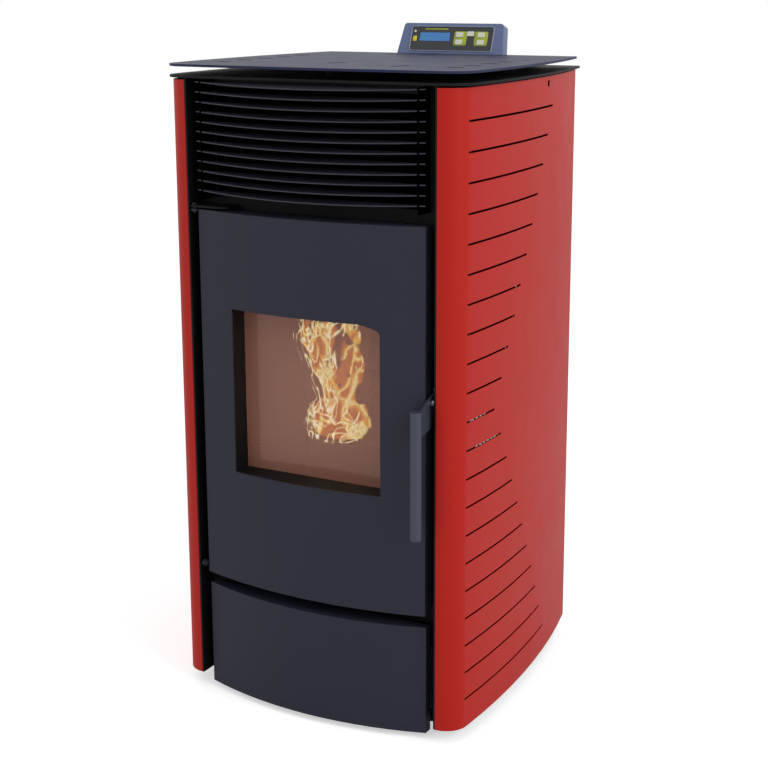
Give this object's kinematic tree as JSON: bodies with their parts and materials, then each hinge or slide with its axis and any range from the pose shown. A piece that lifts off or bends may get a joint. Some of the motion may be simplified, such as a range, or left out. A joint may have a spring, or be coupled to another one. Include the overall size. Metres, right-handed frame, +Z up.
{
  "type": "pellet stove",
  "caption": "Free-standing pellet stove: bowed red side panels, bowed dark door with a deep window, louvres, ash drawer, hinged slotted lid, hopper and auger feed, rear control panel",
  "frame": {"origin": "Middle of the whole stove's width and depth, on the floor that the feet stand on", "axes": "+X to the right of someone facing the stove, +Y from its front to its back, +Z up; the door faces -Y"},
  "size_m": [0.568, 0.62, 1.1437],
  "materials": {
    "red_paint": "smooth semi-gloss powder coat",
    "anthracite_paint": "fine matt powder coat",
    "top_paint": "fine matt powder coat",
    "black_paint": "heat-proof matt paint",
    "zinc_steel": "galvanised sheet",
    "bright_steel": "plain turned steel",
    "cast_iron": "as cast",
    "vermiculite": "pressed fireproof board, matt",
    "ceramic_glass": "clear fire glass with a brown cast",
    "rope_seal": "woven glass rope",
    "grey_plastic": "fine-grained moulding",
    "black_plastic": "fine-grained moulding",
    "blue_display": "clear display window",
    "key_rubber": "matt",
    "black_rubber": "matt"
  },
  "bodies": {
    "casing": {"right_side_panel": "red_paint", "left_side_panel": "red_paint", "base_plate": "black_paint", "foot_front_left": "black_rubber", "foot_front_right": "black_rubber", "foot_rear_left": "black_rubber", "foot_rear_right": "black_rubber", "front_frame": "black_paint", "firebox": "black_paint", "firebox_liner": "vermiculite", "burn_pot": "cast_iron", "igniter": "bright_steel", "top_plate": "black_paint", "lid_hinge_left": "black_paint", "lid_hinge_right": "black_paint", "lid_bumper": "black_rubber", "louvre_grille": "anthracite_paint", "hinge_bracket_top": "black_paint", "hinge_bracket_bottom": "black_paint", "hinge_pin_top": "bright_steel", "hinge_pin_bottom": "bright_steel", "latch_catch_pin": "bright_steel", "drawer_runner_right": "zinc_steel", "drawer_runner_left": "zinc_steel", "hopper": "zinc_steel", "hopper_guard": "zinc_steel", "auger_tube": "zinc_steel", "auger_motor": "black_plastic", "drop_chute": "zinc_steel", "exhaust_fan_housing": "zinc_steel", "exhaust_fan_motor": "black_plastic", "flue_spigot": "black_paint", "air_intake_pipe": "zinc_steel", "room_fan_housing": "zinc_steel", "room_fan_motor": "black_plastic", "rear_panel": "black_paint", "power_inlet": "black_plastic", "control_housing": "grey_plastic", "control_fascia": "black_plastic", "control_display": "blue_display"},
    "door": {"door_skin": "anthracite_paint", "door_frame": "black_paint", "window_glass": "ceramic_glass", "glass_clip_right": "zinc_steel", "glass_clip_left": "zinc_steel", "door_gasket": "rope_seal", "handle_bolt": "bright_steel"},
    "handle": {"door_handle": "anthracite_paint"},
    "ash_drawer_body": {"ash_front": "anthracite_paint", "ash_drawer": "zinc_steel"},
    "lid": {"top_lid": "top_paint"},
    "auger": {"auger_screw": "bright_steel"},
    "exhaust_impeller": {"exhaust_fan_impeller": "bright_steel"},
    "room_rotor": {"room_fan_rotor": "bright_steel"},
    "rocker": {"power_switch": "black_plastic"},
    "key_1": {"control_key_1": "key_rubber"},
    "key_2": {"control_key_2": "key_rubber"},
    "key_3": {"control_key_3": "key_rubber"},
    "key_4": {"control_key_4": "key_rubber"},
    "key_5": {"control_key_5": "key_rubber"}
  },
  "joints": [
    {"name": "door_hinge", "type": "hinge", "parent": "casing", "child": "door", "pos_m": [-0.219, -0.266, 0.536], "axis": [0, 0, -1], "range_deg": [0, 105]},
    {"name": "handle_lift", "type": "hinge", "parent": "door", "child": "handle", "pos_m": [0.2165, -0.258, 0.575], "axis": [-1, 0, 0], "range_deg": [0, 35]},
    {"name": "ash_drawer_slide", "type": "slide", "parent": "casing", "child": "ash_drawer_body", "axis": [0, -1, 0], "range_m": [0, 0.22]},
    {"name": "lid_hinge", "type": "hinge", "parent": "casing", "child": "lid", "pos_m": [0, 0.241, 1.085], "axis": [-1, 0, 0], "range_deg": [0, 80]},
    {"name": "auger_turn", "type": "hinge", "parent": "casing", "child": "auger", "pos_m": [0, 0.12, 0.56], "axis": [0, -0.5, 0.866], "continuous": true},
    {"name": "exhaust_fan_turn", "type": "hinge", "parent": "casing", "child": "exhaust_impeller", "pos_m": [-0.11, 0.19, 0.29], "axis": [0, 1, 0], "continuous": true},
    {"name": "room_fan_turn", "type": "hinge", "parent": "casing", "child": "room_rotor", "pos_m": [0, 0.13, 0.1], "axis": [1, 0, 0], "continuous": true},
    {"name": "switch_rock", "type": "hinge", "parent": "casing", "child": "rocker", "pos_m": [0.15, 0.271, 0.124], "axis": [1, 0, 0], "range_deg": [-8, 8]},
    {"name": "key_1_press", "type": "slide", "parent": "casing", "child": "key_1", "axis": [0, 0.9397, -0.342], "range_m": [0, 0.001], "stiffness_N_per_m": 400},
    {"name": "key_2_press", "type": "slide", "parent": "casing", "child": "key_2", "axis": [0, 0.9397, -0.342], "range_m": [0, 0.001], "stiffness_N_per_m": 400},
    {"name": "key_3_press", "type": "slide", "parent": "casing", "child": "key_3", "axis": [0, 0.9397, -0.342], "range_m": [0, 0.001], "stiffness_N_per_m": 400},
    {"name": "key_4_press", "type": "slide", "parent": "casing", "child": "key_4", "axis": [0, 0.9397, -0.342], "range_m": [0, 0.001], "stiffness_N_per_m": 400},
    {"name": "key_5_press", "type": "slide", "parent": "casing", "child": "key_5", "axis": [0, 0.9397, -0.342], "range_m": [0, 0.001], "stiffness_N_per_m": 400}
  ]
}
